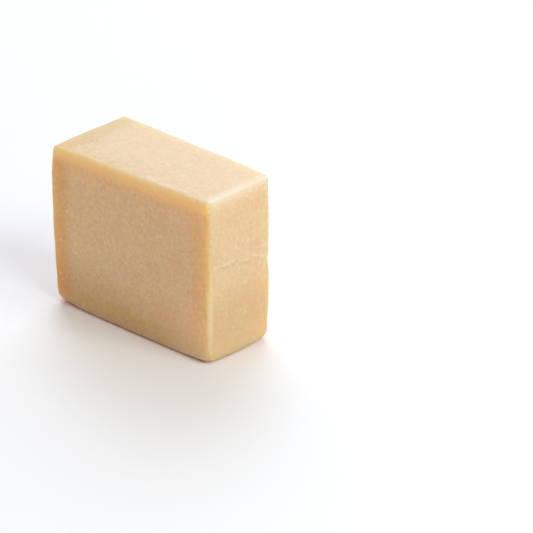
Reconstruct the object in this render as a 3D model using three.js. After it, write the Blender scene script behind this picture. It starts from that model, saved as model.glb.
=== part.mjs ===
// A block of hard, aged pecorino that stands on one of its long narrow sides.
// It was cut from a wheel with a wire, so no face is quite flat and no corner quite square.
// Millimetres. X runs along the block, Y through it and Z up. The origin is the middle of the foot.

import * as THREE from 'three';
import { mergeVertices } from 'three/addons/utils/BufferGeometryUtils.js';

// The block before it is worn and bent
const LENGTH = 110;
const DEPTH = 47;
const HEIGHT = 90;

// Radius of the edges, rubbed soft by handling. The feet of both ends are rounder, the left end's
// all along and the right end's at its corners: REACH is how far in that goes, and RISE how far up.
const TOP_RADIUS = 2.6;
const FOOT_RADIUS = 3;
const LEFT_FOOT_RADIUS = 6.5;
const LEFT_FOOT_REACH = 25;
const LEFT_FOOT_RISE = 27;
const RIGHT_FOOT_RADIUS = 5.5;
const RIGHT_FOOT_REACH = 16.5;
const RIGHT_FOOT_RISE = 20;
const RIGHT_FOOT_MIDDLE = 0.2;

// The share by which the radius changes along the edges
const RADIUS_CHANGE = 0.16;
const RADIUS_WAVE = 17;
const RADIUS_PHASE = 4.4;

// How far the hand-held wire left each corner off the true block, as x, y and z
const CORNERS = [
  { side: [-1, -1, 0], shift: [-1.8, -1.4, 0] },
  { side: [-1, 1, 0], shift: [-0.2, -0.4, 0] },
  { side: [1, -1, 0], shift: [0.2, 1.5, 0] },
  { side: [1, 1, 0], shift: [0.1, -1, 0] },
  { side: [-1, -1, 1], shift: [0, -1, -1.6] },
  { side: [-1, 1, 1], shift: [1.5, 2.2, 1.1] },
  { side: [1, -1, 1], shift: [1, 0.7, -0.5] },
  { side: [1, 1, 1], shift: [-0.9, -0.6, 0.4] },
];

// How far the middle of each upright face swells out, and how much higher the left end swells
const FRONT_BOW = 0.3;
const BACK_BOW = 0.3;
const LEFT_BOW = 0.8;
const RIGHT_BOW = 0.1;
const LEFT_BOW_RISE = 0.6;

// The foot is flat, and its edges lift a little between the corners that the block stands on.
// FOOT_WAIST is the share by which the flat part narrows halfway between them.
const FOOT_LIFT = 0.12;
const FOOT_WAIST = 0.15;

// Slow unevenness of all the faces, which fades out towards the flat foot
const UNEVEN_HEIGHT = 0.2;
const UNEVEN_WAVE = 31;
const UNEVEN_PHASE = 5.2;
const FOOT_FADE = 9;

// The crack across the right end: its bends as y and z, the swell above it and the hollow below it.
// Both fade out between the right end and END_REACH from it.
const CRACK_BENDS = [[-21, 52.6], [-4, 52], [2, 49.6], [12, 49], [17, 47.6], [24, 47]];
const CRACK_LEVEL = 49;
const CRACK_LIP = 1.4;
const CRACK_REACH = 20;
const END_REACH = 27.5;
const SWELL = 0.35;
const SWELL_RISE = 24;
const SWELL_REACH = 23;
const HOLLOW = 0.8;
const HOLLOW_REACH = 13;

// Grid lines: their distances from an edge and from the crack, and their spacing between those
const EDGE_LINES = [0, 0.8, 1.7, 2.8, 4.6, 7.6];
const CRACK_LINES = [-3.5, -1.4, -0.5, 0, 0.5, 1.4, 3.5];
const LINE_SPACING = 3.8;

const FLAT_MARGIN = EDGE_LINES[EDGE_LINES.length - 1];

const clamp = THREE.MathUtils.clamp;
const lerp = THREE.MathUtils.lerp;
const smooth = (value) => THREE.MathUtils.smoothstep(value, 0, 1);

// A slow wave through space, between -1 and 1
function wave(point, length, phase) {
  const turn = (2 * Math.PI) / length;
  const along = Math.sin(turn * (point.x + 0.5 * point.z) + phase);
  const through = Math.sin(turn * (0.9 * point.y - 0.7 * point.x) + 2.1 + phase);
  const up = Math.sin(turn * (point.z + 0.8 * point.y) + 4.2 + phase);
  return (along + through + up) / 3;
}

// Evenly spread grid lines strictly between two places
function between(low, high) {
  const steps = Math.round((high - low) / LINE_SPACING);
  return Array.from({ length: steps - 1 }, (_, i) => lerp(low, high, (i + 1) / steps));
}

// All the grid lines of one direction, dense near both edges, with any extra lines in the middle
function gridLines(low, high, extra = []) {
  const lines = EDGE_LINES.map((d) => low + d);
  if (extra.length > 0) {
    lines.push(...between(low + FLAT_MARGIN, extra[0]), ...extra);
    lines.push(...between(extra[extra.length - 1], high - FLAT_MARGIN));
  } else {
    lines.push(...between(low + FLAT_MARGIN, high - FLAT_MARGIN));
  }
  lines.push(...EDGE_LINES.map((d) => high - d).reverse());
  return lines;
}

// Height of the crack at a distance y through the block
function crackHeight(y) {
  const next = CRACK_BENDS.findIndex(([bendY]) => bendY > y);
  if (next === 0) return CRACK_BENDS[0][1];
  if (next < 0) return CRACK_BENDS[CRACK_BENDS.length - 1][1];
  const [y0, z0] = CRACK_BENDS[next - 1];
  const [y1, z1] = CRACK_BENDS[next];
  return lerp(z0, z1, (y - y0) / (y1 - y0));
}

// 1 on the right end and 0 from END_REACH inwards
const rightEnd = (point) => smooth(1 - (LENGTH / 2 - point.x) / END_REACH);

// Slides the grid up or down the right end, so that its rows follow the crack
function followCrack(point) {
  const near = smooth(1 - Math.abs(point.z - CRACK_LEVEL) / CRACK_REACH);
  point.z += (crackHeight(point.y) - CRACK_LEVEL) * near * rightEnd(point);
}

// Radius of the nearest edge: larger at the feet of both ends, and uneven all along
function edgeRadius(point) {
  const fromLeft = point.x + LENGTH / 2;
  const fromRight = LENGTH / 2 - point.x;
  const aside = Math.abs(point.y) / (DEPTH / 2);
  const corner = smooth((aside - RIGHT_FOOT_MIDDLE) / (1 - RIGHT_FOOT_MIDDLE));
  const left = smooth(1 - fromLeft / LEFT_FOOT_REACH) * smooth(1 - point.z / LEFT_FOOT_RISE);
  const right = smooth(1 - fromRight / RIGHT_FOOT_REACH) * smooth(1 - point.z / RIGHT_FOOT_RISE);
  let radius = lerp(FOOT_RADIUS, TOP_RADIUS, smooth(point.z / (HEIGHT / 2)));
  radius = lerp(radius, LEFT_FOOT_RADIUS, left);
  radius = lerp(radius, RIGHT_FOOT_RADIUS, right * corner);
  return radius * (1 + RADIUS_CHANGE * wave(point, RADIUS_WAVE, RADIUS_PHASE));
}

// Moves a point of the sharp block onto the rounded one, and returns the direction outwards there
function roundOff(point) {
  const radius = edgeRadius(point);
  const core = new THREE.Vector3(
    clamp(point.x, radius - LENGTH / 2, LENGTH / 2 - radius),
    clamp(point.y, radius - DEPTH / 2, DEPTH / 2 - radius),
    clamp(point.z, radius, HEIGHT - radius),
  );
  const outwards = point.clone().sub(core).normalize();
  point.copy(core).addScaledVector(outwards, radius);
  return outwards;
}

// The shift at a point: that of each corner, in proportion to how near it is
function shiftCorners(point) {
  const s = (1 + point.x / (LENGTH / 2)) / 2;
  const t = (1 + point.y / (DEPTH / 2)) / 2;
  const w = point.z / HEIGHT;
  const total = new THREE.Vector3();
  for (const { side, shift } of CORNERS) {
    const share = (side[0] > 0 ? s : 1 - s) * (side[1] > 0 ? t : 1 - t) * (side[2] > 0 ? w : 1 - w);
    total.addScaledVector(new THREE.Vector3(...shift), share);
  }
  return total;
}

// How far the four upright faces bow out at a point
function bow(point) {
  const s = point.x / (LENGTH / 2);
  const right = (1 + s) / 2;
  const back = (1 + point.y / (DEPTH / 2)) / 2;
  const w = clamp(point.z / HEIGHT, 0, 1);
  const along = 1 - s * s;
  const upright = 4 * w * (1 - w);
  const leftRise = LEFT_BOW_RISE * Math.sin(2 * Math.PI * w);
  const x = RIGHT_BOW * upright * right - (LEFT_BOW * upright - leftRise) * (1 - right);
  const y = (BACK_BOW * back - FRONT_BOW * (1 - back)) * along;
  return new THREE.Vector3(x, y, 0);
}

// How far the edges of the foot lift: nothing at its corners and on its narrow-waisted middle
function footLift(point) {
  const along = Math.abs(point.x) / (LENGTH / 2 - FLAT_MARGIN);
  const across = Math.abs(point.y) / (DEPTH / 2 - FLAT_MARGIN);
  const endEdge = smooth((along - 1) / FOOT_WAIST + 1 - across * across);
  const sideEdge = smooth((across - 1) / FOOT_WAIST + 1 - along * along);
  return FOOT_LIFT * Math.max(endEdge, sideEdge) * smooth(1 - point.z / FOOT_FADE);
}

// The right end swells above the crack, drops back at it, and comes out again further down
function crackRelief(point) {
  const above = point.z - crackHeight(point.y);
  const over = SWELL * smooth(1 - Math.abs(above - SWELL_RISE) / SWELL_REACH);
  const under = -HOLLOW * smooth(1 + above / HOLLOW_REACH);
  const opening = smooth((point.y + DEPTH / 2) / DEPTH);
  return lerp(under, over, smooth(above / CRACK_LIP + 0.5)) * opening * rightEnd(point);
}

function blockGeometry() {
  const crackLines = CRACK_LINES.map((d) => CRACK_LEVEL + d);
  const lines = {
    x: gridLines(-LENGTH / 2, LENGTH / 2),
    y: gridLines(-DEPTH / 2, DEPTH / 2),
    z: gridLines(0, HEIGHT, crackLines),
  };
  const [nx, ny, nz] = [lines.x.length - 1, lines.y.length - 1, lines.z.length - 1];
  const evenGrid = new THREE.BoxGeometry(nx, ny, nz, nx, ny, nz);
  evenGrid.deleteAttribute('normal');
  evenGrid.deleteAttribute('uv');
  const geometry = mergeVertices(evenGrid);

  const positions = geometry.attributes.position;
  const point = new THREE.Vector3();
  for (let i = 0; i < positions.count; i += 1) {
    point.fromBufferAttribute(positions, i);
    point.set(
      lines.x[Math.round(point.x + nx / 2)],
      lines.y[Math.round(point.y + ny / 2)],
      lines.z[Math.round(point.z + nz / 2)],
    );
    followCrack(point);
    const outwards = roundOff(point);
    const uneven = UNEVEN_HEIGHT * wave(point, UNEVEN_WAVE, UNEVEN_PHASE);
    const moved = shiftCorners(point).add(bow(point));
    moved.addScaledVector(outwards, uneven * smooth(point.z / FOOT_FADE));
    moved.x += crackRelief(point);
    moved.z += footLift(point);
    point.add(moved);
    positions.setXYZ(i, point.x, point.y, Math.max(point.z, 0));
  }

  geometry.computeBoundingBox();
  const middle = geometry.boundingBox.getCenter(new THREE.Vector3());
  geometry.translate(-middle.x, -middle.y, 0);
  geometry.computeVertexNormals();
  return geometry;
}

// Dense, waxy cut cheese: warm ivory yellow, with a dull gloss where fat has come to the surface
const cheese = new THREE.MeshStandardMaterial({ color: 0xe6c590, roughness: 0.55, metalness: 0 });

const block = new THREE.Mesh(blockGeometry(), cheese);
block.name = 'cheese_block';

const pecorino = new THREE.Group();
pecorino.add(block);

export default pecorino;
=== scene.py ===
import math
import random

import bpy
from mathutils import Matrix, Vector


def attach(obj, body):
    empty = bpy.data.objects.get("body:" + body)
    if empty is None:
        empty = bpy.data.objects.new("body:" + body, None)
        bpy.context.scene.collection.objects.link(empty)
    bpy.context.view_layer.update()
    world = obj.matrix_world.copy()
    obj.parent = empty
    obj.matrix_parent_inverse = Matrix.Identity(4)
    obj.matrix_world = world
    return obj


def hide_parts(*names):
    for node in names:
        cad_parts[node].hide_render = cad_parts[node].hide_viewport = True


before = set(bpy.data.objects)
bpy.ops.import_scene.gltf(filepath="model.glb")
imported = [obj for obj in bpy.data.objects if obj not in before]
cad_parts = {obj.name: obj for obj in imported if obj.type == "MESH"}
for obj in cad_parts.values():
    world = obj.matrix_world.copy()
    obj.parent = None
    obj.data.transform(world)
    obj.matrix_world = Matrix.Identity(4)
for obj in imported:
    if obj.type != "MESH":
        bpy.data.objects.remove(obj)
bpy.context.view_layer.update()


# The block is one piece of hard sheep's milk cheese, cut off the wheel with a wire and rubbed soft
# at its edges. Its faces show the grain of the pressed curd, drag marks of the wire, small pits and
# torn places. An even fine grid is wrapped round the plain block and takes this relief.
MM = 0.001
LENGTH, DEPTH, HEIGHT = 110, 47, 90
GRID_STEP = 0.66 * MM
WELD = 0.01 * MM

CURD_WIDTH, CURD_HEIGHT = 2.4 * MM, 0.07 * MM
DRAG_WIDTH, DRAG_LENGTH, DRAG_HEIGHT = 1.3 * MM, 26 * MM, 0.03 * MM
PIT_SPACING, PIT_WIDTH, PIT_DEPTH = 5.5 * MM, 0.9 * MM, 0.18 * MM
TORN_WIDTH, TORN_DEPTH = 0.8 * MM, 0.2 * MM
SMEAR_WIDTH, SMEAR_HEIGHT = 1.3 * MM, 0.1 * MM
FOOT_FADE = 3 * MM


def on_front(across, up):
    """A place on the front face, in mm from its left edge and from the foot."""
    return Vector((across - LENGTH / 2, -DEPTH / 2, up)) * MM


def on_end(across, up):
    """A place on the right end, in mm from its front edge and from the foot."""
    return Vector((LENGTH / 2, across - DEPTH / 2, up)) * MM


def on_top(across, down):
    """A place on the top, in mm from its left edge and from its back edge."""
    return Vector((across - LENGTH / 2, DEPTH / 2 - down, HEIGHT)) * MM


# The first four torn lines are the crack across the right end, and the others are short scratches.
TORN_LINES = [
    [on_end(8, 51.6), on_end(14.9, 50.4), on_end(19, 50.2)],
    [on_end(23.5, 49.4), on_end(28.5, 48.1), on_end(31, 48.2)],
    [on_end(36, 48.2), on_end(39, 47.4)],
    [on_end(42.5, 50.2), on_end(47, 49.3)],
    [on_end(31, 57.5), on_end(40, 54.5)],
    [on_front(93, 58), on_front(98, 59.5), on_front(104, 63)],
    [on_front(94, 46.7), on_front(104, 48.3)],
    [on_front(96, 37), on_front(98.5, 38.5)],
    [on_front(75, 68), on_front(83, 67.6)],
]
# Curd that the wire has smeared out pale, most of it along the lip of the crack. Along the lip the
# pale colour is partly a painted highlight.
SMEARS = [
    [on_end(27, 60.2), on_end(30, 60)],
    [on_end(5.5, 53.4), on_end(9, 53), on_end(15, 52.6), on_end(19.6, 53)],
    [on_end(23.8, 50.9), on_end(28.7, 49.8)],
    [on_end(33.7, 50.3), on_end(39, 48.6), on_end(44, 47)],
    [on_end(24.6, 61.8), on_end(25.8, 61.2)],
    [on_end(19.8, 60.4), on_end(20.6, 58.6)],
    [on_end(4, 2.5), on_end(6, 2)],
    [on_end(41, 54), on_end(44.5, 53.2)],
    [on_end(15.6, 70.5), on_end(17.4, 70.9)],
    [on_front(76, 61), on_front(79, 61.8)],
    [on_top(8, 26.2), on_top(10.6, 27.4)],
    [on_top(59, 27), on_top(64, 28)],
    [on_top(45, 37), on_top(48, 38)],
    [on_top(66, 43), on_top(72, 43.8)],
    [on_top(76, 43.4), on_top(84, 44)],
    [on_top(88, 43.2), on_top(93, 43.6)],
]


def guide(name, lines, widths=()):
    """Points and loose edges on the faces, for a tree to measure from or to plant things on."""
    places, edges = [], []
    for line in lines:
        edges += [(len(places) + step, len(places) + step + 1) for step in range(len(line) - 1)]
        places += line
    mesh = bpy.data.meshes.new(name)
    mesh.from_pydata(places, edges, [])
    if widths:
        mesh.attributes.new("width", "FLOAT", "POINT").data.foreach_set("value", widths)
    return bpy.data.objects.new(name, mesh)


def add(tree, kind, sockets=None, **settings):
    """Adds a node with its settings. A socket takes a value, a socket, or a node's first output."""
    node = tree.nodes.new(kind)
    for name, value in settings.items():
        setattr(node, name, value)
    plug(node, sockets or {})
    return node


def plug(node, sockets):
    """Gives a node's sockets their values and links."""
    for name, value in sockets.items():
        named = [each for each in node.inputs if each.enabled and each.name == name]
        socket = named[0] if named else node.inputs[name]
        if isinstance(value, bpy.types.Node):
            value = [each for each in value.outputs if each.enabled][0]
        if isinstance(value, bpy.types.NodeSocket):
            node.id_data.links.new(value, socket)
        else:
            socket.default_value = value


def start_material(name):
    """A new material and its shader."""
    material = bpy.data.materials.new(name)
    material.use_nodes = True
    return material, material.node_tree.nodes["Principled BSDF"]


def paint(code):
    """Turns an sRGB hex colour into the linear colour that a shader takes."""
    parts = [int(code[place:place + 2], 16) / 255 for place in (1, 3, 5)]
    return [part / 12.92 if part <= 0.04045 else ((part + 0.055) / 1.055) ** 2.4 for part in parts] + [1]


# Hard aged sheep's milk cheese, cut with a wire: a dense, fatty, slightly see-through paste. Light
# sinks some millimetres into it, red light the furthest, so its edges glow while its faces stay
# chalky and dull. The IOR is that of its fat, and the fine grain roughens its skin.
CHEESE_IOR = 1.45
SEE_THROUGH = 0.85
RED_REACH, GREEN_REACH, BLUE_REACH = 30.0, 14.0, 6.0
GREASY, CHALKY = 0.45, 0.65
FINE_GRAIN, FINE_HEIGHT, FINE_STRENGTH = 0.5 * MM, 0.12 * MM, 0.35

cheese, shader = start_material("hard sheep's milk cheese")
paste = cheese.node_tree
place = add(paste, "ShaderNodeTexCoord").outputs["Object"]
across, depth, up = add(paste, "ShaderNodeSeparateXYZ", {0: place}).outputs


def in_mm(length, sign=1, start=0):
    """A length of the mesh in mm, counted on or back from a start."""
    return add(paste, "ShaderNodeMath", {0: length, 1: sign / MM, 2: start}, operation="MULTIPLY_ADD")


def marked(name):
    """A measure that the block's tree has stored on its mesh."""
    return add(paste, "ShaderNodeAttribute", attribute_name=name).outputs["Fac"]


def spread(measure, start, full, share=1.0, at_start=0.0):
    """A share that is none at the start of a range, grows smoothly, and is full at its other end."""
    return add(paste, "ShaderNodeMapRange", {
        "Value": measure, "From Min": start, "From Max": full, "To Min": at_start, "To Max": share,
    }, interpolation_type="SMOOTHSTEP")


def cover(under, colour, *shares, way="MIX"):
    """Lays a colour over the one below it where all the shares hold."""
    share = shares[0]
    for other in shares[1:]:
        share = add(paste, "ShaderNodeMath", {0: share, 1: other}, operation="MULTIPLY")
    return add(paste, "ShaderNodeMix", {"Factor": share, "A": under, "B": paint(colour)},
               data_type="RGBA", blend_type=way)


def stain(under, colour, *shares):
    """Stains the colour below with another where all the shares hold."""
    return cover(under, colour, *shares, way="MULTIPLY")


# How far each spot is from the faces and edges of the block, in mm. The stains below start at one
# of these distances and are full at another. Their places and colours were fitted to how the block
# looks under one light, so they may hold a little of that light as well as the paste.
from_foot = in_mm(up)
from_top = in_mm(up, -1, HEIGHT)
from_left = in_mm(across, 1, LENGTH / 2)
from_right = in_mm(across, -1, LENGTH / 2)
from_front = in_mm(depth, 1, DEPTH / 2)
from_side = in_mm(add(paste, "ShaderNodeMath", {0: depth}, operation="ABSOLUTE"), -1, DEPTH / 2)
from_edge = in_mm(marked("rim"))
front_face = spread(from_front, 3.5, 0.5)

# The grain of the curd: paler grains and darker seams, over broad patches that blush a little. It
# shows less on the right end.
PASTE, BLUSH, CURD_AND_EDGE_HIGHLIGHT, SEAM = "#E6C99B", "#E3BD93", "#F2DEB8", "#D2B388"
PATCH_WIDTH, GRAIN_WIDTH = 9 * MM, 1.8 * MM
patches = add(paste, "ShaderNodeTexNoise", {"Vector": place, "Scale": 1 / PATCH_WIDTH, "Detail": 2})
grain = add(paste, "ShaderNodeTexNoise", {"Vector": place, "Scale": 1 / GRAIN_WIDTH, "Detail": 2})
fainter_on_end = spread(from_right, 3, -0.5, 0.7, at_start=1.0)
colour = cover(paint(PASTE), BLUSH, spread(patches, 0.4, 0.66, 0.4))
colour = cover(colour, CURD_AND_EDGE_HIGHLIGHT, spread(grain, 0.45, 0.72, 0.44), fainter_on_end)
colour = cover(colour, SEAM, spread(grain, 0.48, 0.3, 0.34), fainter_on_end)

# The paste is browner near the left end. Painted shade darkens it towards the foot, most of all at
# the lower left and on the lower half of the right end, and a painted warm shade lies in the last
# millimetres above the foot. No rind is left on the block to show where it lay.
LEFT_END_BROWN, FOOT_SHADE, LOWER_LEFT_SHADE = "#F7F0DE", "#FFEFE5", "#EEEFE8"
END_FOOT_SHADE, RED_FOOT_SHADE, WARM_END_FOOT_SHADE = "#F8F1E6", "#FFB394", "#FFC08A"
LOWER_LEFT_SLOPE = 0.25
from_lower_left = add(paste, "ShaderNodeMath", {0: from_left, 1: LOWER_LEFT_SLOPE, 2: from_foot}, operation="MULTIPLY_ADD")
# Browner towards the left end.
colour = stain(colour, LEFT_END_BROWN, spread(from_left, 17, 8))
# Painted warm shade just above the foot, except on the right end.
colour = cover(colour, RED_FOOT_SHADE, spread(from_foot, 8, 1.5, 0.5), spread(from_right, 0, 3))
# Painted shade, darker towards the foot.
colour = stain(colour, FOOT_SHADE, spread(from_foot, 40, 8), spread(from_right, -5, 30))
# Painted shade over the lower half of the right end.
colour = stain(colour, END_FOOT_SHADE, spread(from_foot, 46, 26), spread(from_foot, 3, 18),
               spread(from_right, 5, 0))
# Painted warm shade over the foot of the right end.
colour = cover(colour, WARM_END_FOOT_SHADE, spread(from_foot, 16, 2, 0.65), spread(from_right, 5, 1))
# Painted shade that deepens towards the foot and the lower left.
colour = stain(colour, LOWER_LEFT_SHADE, spread(from_lower_left, 48, 12))

# The two large sides are golden just in from their edges, partly as drier paste and partly as a
# painted glow of light coming through the edges. A stronger painted glow lies under the top edge.
GOLDEN, TOP_EDGE_GLOW = "#FFF9E4", "#FFD59A"
side_faces = spread(from_side, 2.5, 0.7)
colour = stain(colour, GOLDEN, side_faces, spread(from_top, 1.7, 3.7), spread(from_edge, 14, 8),
               spread(from_foot, 2, 12))
# Painted glow under the top edge of the large sides.
colour = cover(colour, TOP_EDGE_GLOW, spread(from_top, 11, 4, 0.7), spread(from_top, 0, 2.7), side_faces)

# The edge between the front and the right end has a painted amber glow in its upper half and a
# painted pale highlight below. The front has a painted warm glow low down towards that edge, and is a
# little tanner above.
AMBER_EDGE_GLOW, TAWNY_CORNER_GLOW, TAN = "#FFF3DF", "#FFCFA6", "#FFFCF8"
colour = stain(colour, AMBER_EDGE_GLOW, spread(from_right, 2, 0), front_face, spread(from_top, 1, 4),
               spread(from_foot, 18, 50))
# Painted highlight: a pale line down the lower half of the front right edge.
colour = cover(colour, CURD_AND_EDGE_HIGHLIGHT, spread(from_right, 1.4, -0.3), spread(from_front, 5, 2),
               spread(from_foot, 55, 25, 0.5), spread(from_foot, 2, 8))
# Painted warm glow low on the front towards the right end.
colour = cover(colour, TAWNY_CORNER_GLOW, spread(from_right, 43, 7), spread(from_foot, 45, 12, 0.3), front_face)
colour = stain(colour, TAN, spread(from_foot, 28, 45), spread(from_left, 5, 20), front_face)

# The top is painted a little paler, as a painted sheen, and a little darker towards its left end.
# Its short right edge has the palest painted highlight, and that painted paleness runs down the end
# from there.
TOP_SHEEN, TOP_LEFT_TINT, RIDGE_HIGHLIGHT = "#F3E6CF", "#F3FBEF", "#F4E3D6"
TOP_SHEEN_SHARE = 0.25
top_face = spread(from_top, 1.5, -0.2)
# Painted sheen that makes the top paler.
colour = cover(colour, TOP_SHEEN, top_face, TOP_SHEEN_SHARE)
# A little darker towards the left end of the top.
colour = stain(colour, TOP_LEFT_TINT, top_face, spread(from_left, 28, 8))
# Painted highlight along the ridge between the top and the right end.
colour = cover(colour, RIDGE_HIGHLIGHT, spread(from_edge, 2.4, 0.8), spread(from_top, 6, 1),
               spread(from_front, 2, 5), spread(from_right, 7, 2, 0.85))
# Painted highlight running down the upper right end from that ridge.
colour = cover(colour, RIDGE_HIGHLIGHT, spread(from_top, 7.5, 2, 0.4), spread(from_right, 5, 1),
               spread(from_front, 2, 5.5))

# Here and there a curd grain has stayed whole and shows as a small pale fleck. Smears are pale, and
# along the lip of the crack that pale is partly a painted highlight. Painted shade darkens the torn
# lines.
PALE_SMEAR_AND_HIGHLIGHT, TORN_LINE_SHADE = "#F3E2CC", "#CFA873"
FLECK_SPACING = 5 * MM
fleck = add(paste, "ShaderNodeTexVoronoi", {"Vector": place, "Scale": 1 / FLECK_SPACING}).outputs
colour = cover(colour, CURD_AND_EDGE_HIGHLIGHT, spread(fleck["Distance"], 0.24, 0.1, 0.45), spread(fleck["Color"], 0.45, 0.55))
colour = cover(colour, PALE_SMEAR_AND_HIGHLIGHT, spread(marked("smeared"), 0, 1, 0.45))
# Painted shade in the crack and the scratches.
colour = cover(colour, TORN_LINE_SHADE, spread(marked("torn"), 0, 1, 0.3))

fine = add(paste, "ShaderNodeTexNoise", {"Vector": place, "Scale": 1 / FINE_GRAIN, "Detail": 3})
bump = add(paste, "ShaderNodeBump", {"Strength": FINE_STRENGTH, "Distance": FINE_HEIGHT, "Height": fine})
plug(shader, {
    "Base Color": colour, "Normal": bump, "IOR": CHEESE_IOR,
    "Roughness": spread(grain, 0.2, 0.8, CHALKY, at_start=GREASY),
    "Subsurface Weight": SEE_THROUGH, "Subsurface Scale": 1.0 * MM,
    "Subsurface Radius": (RED_REACH, GREEN_REACH, BLUE_REACH),
})


def start_tree(name, **inputs):
    """A new geometry tree with named inputs, which are given by their kind, and their sockets."""
    tree = bpy.data.node_groups.new(name, "GeometryNodeTree")
    tree.interface.new_socket("Geometry", in_out="INPUT", socket_type="NodeSocketGeometry")
    for kind, labels in inputs.items():
        for label in labels:
            tree.interface.new_socket(label, in_out="INPUT", socket_type="NodeSocket" + kind)
    tree.interface.new_socket("Geometry", in_out="OUTPUT", socket_type="NodeSocketGeometry")
    return tree, add(tree, "NodeGroupInput").outputs


def end_tree(tree, made, material):
    """Closes a tree with a smooth, real mesh in one material."""
    made = add(tree, "GeometryNodeSetShadeSmooth", {"Geometry": made})
    made = add(tree, "GeometryNodeRealizeInstances", {"Geometry": made})
    made = add(tree, "GeometryNodeSetMaterial", {"Geometry": made, "Material": material})
    add(tree, "NodeGroupOutput", {"Geometry": made})


def grow(name, ground, tree, values):
    """Runs a tree on a mesh, makes the result a plain mesh object, and clears away its guides."""
    base = bpy.data.objects.new(name + " base", ground)
    bpy.context.scene.collection.objects.link(base)
    modifier = base.modifiers.new(tree.name, "NODES")
    modifier.node_group = tree
    for socket in tree.interface.items_tree:
        if socket.name in values:
            modifier[socket.identifier] = values[socket.name]
    made = bpy.data.meshes.new_from_object(base.evaluated_get(bpy.context.evaluated_depsgraph_get()))
    made.name = name
    base.modifiers.remove(modifier)
    bpy.data.objects.remove(base)
    piece = bpy.data.objects.new(name, made)
    bpy.context.scene.collection.objects.link(piece)
    made.materials.clear()
    for value in values.values():
        if isinstance(value, bpy.types.Material):
            made.materials.append(value)
        if isinstance(value, bpy.types.Object):
            bpy.data.objects.remove(value)
    made.polygons.foreach_set("material_index", [0] * len(made.polygons))
    return piece


tree, given = start_tree(
    "wire-cut cheese",
    Float=("grid step", "curd width", "curd height", "drag width", "drag length", "drag height",
           "pit spacing", "pit width", "pit depth", "torn width", "torn depth",
           "smear width", "smear height", "foot fade"),
    Object=("torn lines", "smears"),
    Material=("paste",),
)

# The plain block's flats become one smooth skin, and a grid round its box shrinks onto that skin.
SKIN_LEVEL = 2
shell = add(tree, "GeometryNodeMergeByDistance", {"Geometry": given["Geometry"], "Distance": WELD})
skin = add(tree, "GeometryNodeSubdivisionSurface", {"Mesh": shell, "Level": SKIN_LEVEL})
box = add(tree, "GeometryNodeBoundBox", {"Geometry": shell})
size = add(tree, "ShaderNodeVectorMath", {0: box.outputs["Max"], 1: box.outputs["Min"]},
           operation="SUBTRACT")
steps = add(tree, "ShaderNodeVectorMath", {0: size, 1: given["grid step"]}, operation="DIVIDE")
steps = add(tree, "ShaderNodeSeparateXYZ", {0: steps})
grid = add(tree, "GeometryNodeMeshCube", {
    "Size": size, "Vertices X": steps.outputs["X"], "Vertices Y": steps.outputs["Y"],
    "Vertices Z": steps.outputs["Z"],
})
middle = add(tree, "ShaderNodeVectorMath", {0: box.outputs["Min"], 1: box.outputs["Max"]}, operation="ADD")
middle = add(tree, "ShaderNodeVectorMath", {0: middle, "Scale": 0.5}, operation="SCALE")

# How far each grid point is from the nearest edge of the box: the middle one of its three distances.
spot = add(tree, "GeometryNodeInputPosition")
inward = add(tree, "ShaderNodeVectorMath", {0: spot}, operation="ABSOLUTE")
half = add(tree, "ShaderNodeVectorMath", {0: size, "Scale": 0.5}, operation="SCALE")
inward = add(tree, "ShaderNodeVectorMath", {0: half, 1: inward}, operation="SUBTRACT")
inward = add(tree, "ShaderNodeSeparateXYZ", {0: inward})
total = add(tree, "ShaderNodeMath", {0: inward.outputs["X"], 1: inward.outputs["Y"]}, operation="ADD")
total = add(tree, "ShaderNodeMath", {0: total, 1: inward.outputs["Z"]}, operation="ADD")
most = add(tree, "ShaderNodeMath", {0: inward.outputs["X"], 1: inward.outputs["Y"]}, operation="MAXIMUM")
most = add(tree, "ShaderNodeMath", {0: most, 1: inward.outputs["Z"]}, operation="MAXIMUM")
rim = add(tree, "ShaderNodeMath", {0: total, 1: most}, operation="SUBTRACT")
grid = add(tree, "GeometryNodeStoreNamedAttribute", {"Geometry": grid, "Name": "rim", "Value": rim})
grid = add(tree, "GeometryNodeTransform", {"Geometry": grid, "Translation": middle})
on_skin = add(tree, "GeometryNodeSampleNearestSurface", {"Mesh": skin, "Value": spot},
              data_type="FLOAT_VECTOR")
grid = add(tree, "GeometryNodeSetPosition", {"Geometry": grid, "Position": on_skin})

# Torn lines and pale smears: each is laid on the skin, and a point's share falls with its distance.
# Nearly all of a noise lies between NOISE_LOW and NOISE_HIGH.
NOISE_LOW, NOISE_HIGH = 0.3, 0.7
RAGGED_WIDTH, RAGGED = 1.6 * MM, 0.5
ragged = add(tree, "ShaderNodeTexNoise", {"Vector": spot, "Scale": 1 / RAGGED_WIDTH, "Detail": 2})
shares = {}
for label, width, mark in (("torn lines", "torn width", "torn"), ("smears", "smear width", "smeared")):
    lines = add(tree, "GeometryNodeObjectInfo", {"Object": given[label]})
    lines = add(tree, "GeometryNodeSetPosition", {
        "Geometry": lines.outputs["Geometry"], "Position": on_skin})
    away = add(tree, "GeometryNodeProximity", {"Geometry": lines}, target_element="EDGES")
    away = add(tree, "ShaderNodeMath", {0: away.outputs["Distance"], 1: given[width]}, operation="DIVIDE")
    uneven = add(tree, "ShaderNodeMapRange", {
        "Value": ragged, "From Min": NOISE_LOW, "From Max": NOISE_HIGH, "To Min": -RAGGED, "To Max": RAGGED})
    away = add(tree, "ShaderNodeMath", {0: away, 1: uneven}, operation="ADD")
    shares[mark] = add(tree, "ShaderNodeMapRange", {"Value": away, "To Min": 1.0, "To Max": 0.0},
                       interpolation_type="SMOOTHSTEP")
    grid = add(tree, "GeometryNodeStoreNamedAttribute", {
        "Geometry": grid, "Name": mark, "Value": shares[mark]})

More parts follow.
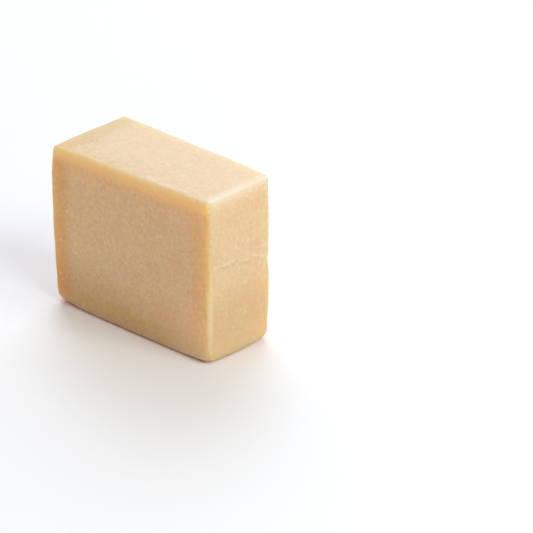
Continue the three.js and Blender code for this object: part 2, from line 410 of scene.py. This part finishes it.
# The relief: soft curd grain, long drag marks of the wire, and small round pits.
curd_scale = add(tree, "ShaderNodeMath", {0: 1.0, 1: given["curd width"]}, operation="DIVIDE")
curd = add(tree, "ShaderNodeTexNoise", {"Vector": spot, "Scale": curd_scale, "Detail": 3})
curd = add(tree, "ShaderNodeMapRange", {
    "Value": curd, "From Min": NOISE_LOW, "From Max": NOISE_HIGH, "To Min": -1.0})
drag_size = add(tree, "ShaderNodeCombineXYZ", {
    "X": given["drag width"], "Y": given["drag width"], "Z": given["drag length"]})
drag_spot = add(tree, "ShaderNodeVectorMath", {0: spot, 1: drag_size}, operation="DIVIDE")
drag = add(tree, "ShaderNodeTexNoise", {"Vector": drag_spot, "Scale": 1.0, "Detail": 1})
drag = add(tree, "ShaderNodeMapRange", {
    "Value": drag, "From Min": NOISE_LOW, "From Max": NOISE_HIGH, "To Min": -1.0})
pit_scale = add(tree, "ShaderNodeMath", {0: 1.0, 1: given["pit spacing"]}, operation="DIVIDE")
pit_away = add(tree, "ShaderNodeTexVoronoi", {"Vector": spot, "Scale": pit_scale})
pit_reach = add(tree, "ShaderNodeMath", {0: given["pit width"], 1: given["pit spacing"]}, operation="DIVIDE")
pit = add(tree, "ShaderNodeMapRange", {
    "Value": pit_away.outputs["Distance"], "From Max": pit_reach, "To Min": -1.0, "To Max": 0.0,
}, interpolation_type="SMOOTHSTEP")
torn = add(tree, "ShaderNodeMath", {0: shares["torn"], 1: -1.0}, operation="MULTIPLY")

# Their heights add up, fade out towards the flat foot, and lift each point off the skin.
height = 0.0
for share, full in ((curd, "curd height"), (drag, "drag height"), (pit, "pit depth"),
                    (torn, "torn depth"), (shares["smeared"], "smear height")):
    height = add(tree, "ShaderNodeMath", {0: share, 1: given[full], 2: height}, operation="MULTIPLY_ADD")
level = add(tree, "ShaderNodeSeparateXYZ", {0: spot})
off_foot = add(tree, "ShaderNodeMapRange", {"Value": level.outputs["Z"], "From Max": given["foot fade"]},
               interpolation_type="SMOOTHSTEP")
height = add(tree, "ShaderNodeMath", {0: height, 1: off_foot}, operation="MULTIPLY")
normal = add(tree, "GeometryNodeInputNormal")
lift = add(tree, "ShaderNodeVectorMath", {0: normal, "Scale": height}, operation="SCALE")
grid = add(tree, "GeometryNodeSetPosition", {"Geometry": grid, "Offset": lift})
end_tree(tree, grid, given["paste"])

block = grow("cheese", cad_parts["cheese_block"].data.copy(), tree, {
    "grid step": GRID_STEP, "curd width": CURD_WIDTH, "curd height": CURD_HEIGHT,
    "drag width": DRAG_WIDTH, "drag length": DRAG_LENGTH, "drag height": DRAG_HEIGHT,
    "pit spacing": PIT_SPACING, "pit width": PIT_WIDTH, "pit depth": PIT_DEPTH,
    "torn lines": guide("torn lines", TORN_LINES), "torn width": TORN_WIDTH, "torn depth": TORN_DEPTH,
    "smears": guide("smears", SMEARS), "smear width": SMEAR_WIDTH, "smear height": SMEAR_HEIGHT,
    "foot fade": FOOT_FADE, "paste": cheese,
})
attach(block, "root")
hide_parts("cheese_block")


# Ageing leaves small hard crystals of salt and protein in the paste. The wire lays them bare, and
# they show as pale chips, a little sunk in the cut faces. They crowd in some places, most of all
# towards the left end.
CM = 0.01
SMALLEST_CRYSTAL, LARGEST_CRYSTAL = 0.45 * MM, 1.3 * MM
CRYSTALS_EACH_SQUARE_CM = 1.5
CROWD_WIDTH, CROWD_LOW, CROWD_HIGH = 15 * MM, 0.35, 0.65
THINNEST_CROWD, THICKEST_CROWD = 0.2, 1.8
LEFT_CROWD, LEFT_CROWD_START, LEFT_CROWD_FULL = 3.0, -25 * MM, -45 * MM
SMALL_BIAS = 3.0
CHIP_THICKNESS, CHIP_SUNK, CHIP_NARROWING = 0.5, 0.2, 0.7
KNOCK_WIDTH, KNOCK_DEPTH = 0.5 * MM, 0.5 * MM
CRYSTAL_COLOUR, CRYSTAL_ROUGHNESS, CRYSTAL_SEED = "#ECD2A4", 0.6, 7
# Places of the larger crystals, and their widths in mm
LARGE_CRYSTALS = [
    (on_front(38.7, 30.4), 1.5), (on_front(45, 25.4), 1.4), (on_front(15.4, 18.8), 1.7),
    (on_front(10.8, 19.2), 1.1), (on_front(5.8, 14.6), 1.2), (on_front(61.3, 15), 1.3),
    (on_front(68.3, 23.3), 1.3), (on_front(103.8, 14.2), 1.3), (on_front(64.2, 43.8), 1.4),
    (on_front(63.3, 33.8), 1.2), (on_front(13.3, 70.8), 1.1), (on_front(9.6, 59.6), 1.8),
    (on_front(103.8, 22.9), 1.1), (on_front(29.6, 36.3), 1.0), (on_front(47.5, 36.7), 1.0),
    (on_front(41.3, 24.2), 1.1), (on_front(82.5, 30.8), 1.0), (on_end(2.9, 42.1), 1.6),
    (on_end(7.9, 39.3), 1.6), (on_end(13.6, 37.5), 1.4), (on_end(23.6, 24.3), 1.4),
    (on_end(38.9, 18.9), 1.1), (on_end(43.6, 14), 1.1), (on_top(40.7, 18.2), 1.2),
    (on_top(24.6, 20.6), 1.2), (on_top(61.4, 27.5), 1.6), (on_top(46.4, 37.5), 1.4),
]

tree, given = start_tree(
    "grains on the cut faces",
    Float=("scattered", "smallest", "largest", "thickness", "sunk", "foot fade"),
    Int=("seed",),
    Object=("large ones",),
    Material=("material",),
)

# Small ones are scattered over the faces, clear of the foot, with random widths.
spot = add(tree, "GeometryNodeInputPosition")
level = add(tree, "ShaderNodeSeparateXYZ", {0: spot})
off_foot = add(tree, "FunctionNodeCompare", {"A": level.outputs["Z"], "B": given["foot fade"]},
               operation="GREATER_THAN")
crowd = add(tree, "ShaderNodeTexNoise", {"Vector": spot, "Scale": 1 / CROWD_WIDTH, "Detail": 1})
crowd = add(tree, "ShaderNodeMapRange", {
    "Value": crowd, "From Min": CROWD_LOW, "From Max": CROWD_HIGH,
    "To Min": THINNEST_CROWD, "To Max": THICKEST_CROWD})
left_crowd = add(tree, "ShaderNodeMapRange", {
    "Value": level.outputs["X"], "From Min": LEFT_CROWD_START, "From Max": LEFT_CROWD_FULL,
    "To Min": 1.0, "To Max": LEFT_CROWD})
crowd = add(tree, "ShaderNodeMath", {0: crowd, 1: left_crowd}, operation="MULTIPLY")
density = add(tree, "ShaderNodeMath", {0: crowd, 1: given["scattered"]}, operation="MULTIPLY")
small = add(tree, "GeometryNodeDistributePointsOnFaces", {
    "Mesh": given["Geometry"], "Selection": off_foot, "Density": density, "Seed": given["seed"]})
chance = add(tree, "FunctionNodeRandomValue", {"Seed": given["seed"]})
chance = add(tree, "ShaderNodeMath", {0: chance, 1: SMALL_BIAS}, operation="POWER")
small_width = add(tree, "ShaderNodeMapRange", {
    "Value": chance, "To Min": given["smallest"], "To Max": given["largest"]})
small = add(tree, "GeometryNodeStoreNamedAttribute", {
    "Geometry": small.outputs["Points"], "Name": "width", "Value": small_width})

# Large ones come from the guide's points, laid on the face. Join Geometry takes both in one socket,
# so the second link is made by hand.
large = add(tree, "GeometryNodeObjectInfo", {"Object": given["large ones"]})
on_face = add(tree, "GeometryNodeSampleNearestSurface", {"Mesh": given["Geometry"], "Value": spot},
              data_type="FLOAT_VECTOR")
large = add(tree, "GeometryNodeSetPosition", {"Geometry": large.outputs["Geometry"], "Position": on_face})
large = add(tree, "GeometryNodeMeshToPoints", {"Mesh": large})
points = add(tree, "GeometryNodeJoinGeometry", {"Geometry": small})
tree.links.new(large.outputs[0], points.inputs[0])

# Each point gets a flat, knocked chip that lies on the face, turned at random and a little sunk.
normal = add(tree, "GeometryNodeInputNormal")
outward = add(tree, "GeometryNodeSampleNearestSurface", {"Mesh": given["Geometry"], "Value": normal},
              data_type="FLOAT_VECTOR")
upright = add(tree, "FunctionNodeAlignRotationToVector", {"Vector": outward}, axis="Z")
angle = add(tree, "FunctionNodeRandomValue", {"Max": math.tau, "Seed": given["seed"]})
turn = add(tree, "FunctionNodeAxisAngleToRotation", {"Axis": (0.0, 0.0, 1.0), "Angle": angle})
lying = add(tree, "FunctionNodeRotateRotation", {"Rotation": upright, "Rotate By": turn},
            rotation_space="LOCAL")
width = add(tree, "GeometryNodeInputNamedAttribute", {"Name": "width"})
thick = add(tree, "ShaderNodeMath", {0: width, 1: given["thickness"]}, operation="MULTIPLY")
narrow = add(tree, "ShaderNodeMath", {0: width, 1: CHIP_NARROWING}, operation="MULTIPLY")
scale = add(tree, "ShaderNodeCombineXYZ", {"X": width, "Y": narrow, "Z": thick})
down = add(tree, "ShaderNodeMath", {0: thick, 1: given["sunk"]}, operation="MULTIPLY")
down = add(tree, "ShaderNodeMath", {0: down, 1: -1.0}, operation="MULTIPLY")
sink = add(tree, "ShaderNodeVectorMath", {0: outward, "Scale": down}, operation="SCALE")
points = add(tree, "GeometryNodeSetPosition", {"Geometry": points, "Offset": sink})
chip = add(tree, "GeometryNodeMeshIcoSphere", {"Radius": 0.5, "Subdivisions": 1})
chips = add(tree, "GeometryNodeInstanceOnPoints", {
    "Points": points, "Instance": chip, "Rotation": lying, "Scale": scale})
chips = add(tree, "GeometryNodeRealizeInstances", {"Geometry": chips})
knock = add(tree, "ShaderNodeTexNoise", {"Vector": spot, "Scale": 1 / KNOCK_WIDTH, "Detail": 1})
knock = add(tree, "ShaderNodeVectorMath", {0: knock.outputs["Color"], 1: (0.5, 0.5, 0.5)},
            operation="SUBTRACT")
knock = add(tree, "ShaderNodeVectorMath", {0: knock, "Scale": KNOCK_DEPTH}, operation="SCALE")
chips = add(tree, "GeometryNodeSetPosition", {"Geometry": chips, "Offset": knock})
end_tree(tree, chips, given["material"])

# Crystals of tyrosine and salt break out matt and pale.
crystal, shader = start_material("salt and protein crystal")
plug(shader, {"Base Color": paint(CRYSTAL_COLOUR), "Roughness": CRYSTAL_ROUGHNESS})
crystal_places = guide("crystal places", [[each] for each, width in LARGE_CRYSTALS],
                       [width * MM for each, width in LARGE_CRYSTALS])
crystals = grow("crystals", block.data.copy(), tree, {
    "large ones": crystal_places, "scattered": CRYSTALS_EACH_SQUARE_CM / CM ** 2,
    "smallest": SMALLEST_CRYSTAL, "largest": LARGEST_CRYSTAL, "thickness": CHIP_THICKNESS,
    "sunk": CHIP_SUNK, "foot fade": FOOT_FADE, "seed": CRYSTAL_SEED, "material": crystal,
})
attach(crystals, "root")


# Crumbs are bits of the same curd that the wire has torn loose along the crack and the scratches.
# They dry out, turn dull and stick where they lie. The tree of the crystals lays them, without its
# scattered ones.
CRUMB_SPACING, CRUMB_SCATTER = 1.1, 0.7
SMALLEST_CRUMB, LARGEST_CRUMB = 0.4, 1.2
CRUMB_THICKNESS, CRUMB_SUNK = 0.6, 0.1
CRUMB_COLOUR, CRUMB_ROUGHNESS, CRUMB_SEED = "#EED4AA", 0.7, 5
crumb_draw = random.Random(3)
crumb_places, crumb_widths = [], []
for line in TORN_LINES:
    for start, stop in zip(line, line[1:]):
        for step in range(round((stop - start).length / MM / CRUMB_SPACING)):
            along = crumb_draw.random()
            off = Vector([crumb_draw.uniform(-CRUMB_SCATTER, CRUMB_SCATTER) * MM for axis in range(3)])
            crumb_places.append([start.lerp(stop, along) + off])
            crumb_widths.append(crumb_draw.uniform(SMALLEST_CRUMB, LARGEST_CRUMB) * MM)

# Dry curd crumbs scatter light at their rough, broken skin, so they look paler than the paste.
crumb, shader = start_material("dry curd crumb")
plug(shader, {"Base Color": paint(CRUMB_COLOUR), "Roughness": CRUMB_ROUGHNESS})
crumbs = grow("crumbs", block.data.copy(), tree, {
    "large ones": guide("crumb places", crumb_places, crumb_widths), "scattered": 0.0,
    "thickness": CRUMB_THICKNESS, "sunk": CRUMB_SUNK, "foot fade": FOOT_FADE, "seed": CRUMB_SEED,
    "material": crumb,
})
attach(crumbs, "root")


# The floor is a plain matt white table top, where the block stands on its flat foot. It is a thin
# sheet, large enough to fill the view.
FLOOR_REACH = 8
FLOOR_WHITE = (0.95, 0.95, 0.95, 1)
floor_mesh = bpy.data.meshes.new("floor")
floor_mesh.from_pydata([
    (-FLOOR_REACH, -FLOOR_REACH, 0), (FLOOR_REACH, -FLOOR_REACH, 0),
    (FLOOR_REACH, FLOOR_REACH, 0), (-FLOOR_REACH, FLOOR_REACH, 0),
], [], [(0, 1, 2, 3)])
floor = bpy.data.objects.new("floor", floor_mesh)
bpy.context.scene.collection.objects.link(floor)
white, shader = start_material("white floor")
plug(shader, {"Base Color": FLOOR_WHITE})
floor.data.materials.append(white)


# The light is that of a white studio: an even, slightly warm surround and three large softboxes,
# of which the one behind the block lights its top and the one on the right its end.
SURROUND, SURROUND_STRENGTH = (1.05, 0.965, 0.89, 1), 0.43
LIT_SPOT = Vector((0, 0, 0.05))
world = bpy.data.worlds.new("white studio")
world.use_nodes = True
plug(world.node_tree.nodes["Background"], {"Color": SURROUND, "Strength": SURROUND_STRENGTH})
bpy.context.scene.world = world


def soft_light(name, place, width, power, tint):
    """A square softbox that faces the block: its place and width in m, its power in W."""
    light = bpy.data.lights.new(name, "AREA")
    light.size = width
    light.energy = power
    light.color = tint
    lamp = bpy.data.objects.new(name, light)
    bpy.context.scene.collection.objects.link(lamp)
    facing = (LIT_SPOT - Vector(place)).to_track_quat("-Z", "Y").to_matrix().to_4x4()
    lamp.matrix_world = Matrix.Translation(place) @ facing


soft_light("overhead softbox", (0.0, 0.0, 1.45), 0.9, 1.6, (1, 1, 1))
soft_light("right overhead softbox", (1.1, 0.0, 0.95), 0.8, 9.6, (0.9, 1, 1.04))
soft_light("back softbox", (-0.8, 0.85, 1.0), 1.2, 10.4, (0.9, 1, 1.2))


# The camera looks down on the corner between the front and the right end, from over a metre away
# through a long lens. CAMERA_AIM is the spot in the middle of its view, and FOCAL_PIXELS the length
# of the lens in pixels of a picture that is PICTURE_WIDTH wide.
CAMERA_TURN = math.radians(43.745)
CAMERA_TILT = math.radians(25.737)
CAMERA_AWAY = 1342.3 * MM
CAMERA_AIM = Vector((30.75, 44.77, 24.05)) * MM
PICTURE_WIDTH = 533
SENSOR_WIDTH = 36
FOCAL_PIXELS = 2600
camera_data = bpy.data.cameras.new("camera")
camera_data.sensor_width = SENSOR_WIDTH
camera_data.lens = SENSOR_WIDTH * FOCAL_PIXELS / PICTURE_WIDTH
camera = bpy.data.objects.new("camera", camera_data)
bpy.context.scene.collection.objects.link(camera)
back = Vector((
    math.sin(CAMERA_TURN) * math.cos(CAMERA_TILT),
    -math.cos(CAMERA_TURN) * math.cos(CAMERA_TILT),
    math.sin(CAMERA_TILT),
))
right = Vector((math.cos(CAMERA_TURN), math.sin(CAMERA_TURN), 0))
facing = Matrix((right, back.cross(right), back)).transposed().to_4x4()
camera.matrix_world = Matrix.Translation(CAMERA_AIM + back * CAMERA_AWAY) @ facing
bpy.context.scene.camera = camera
bpy.context.scene.view_settings.view_transform = "Standard"
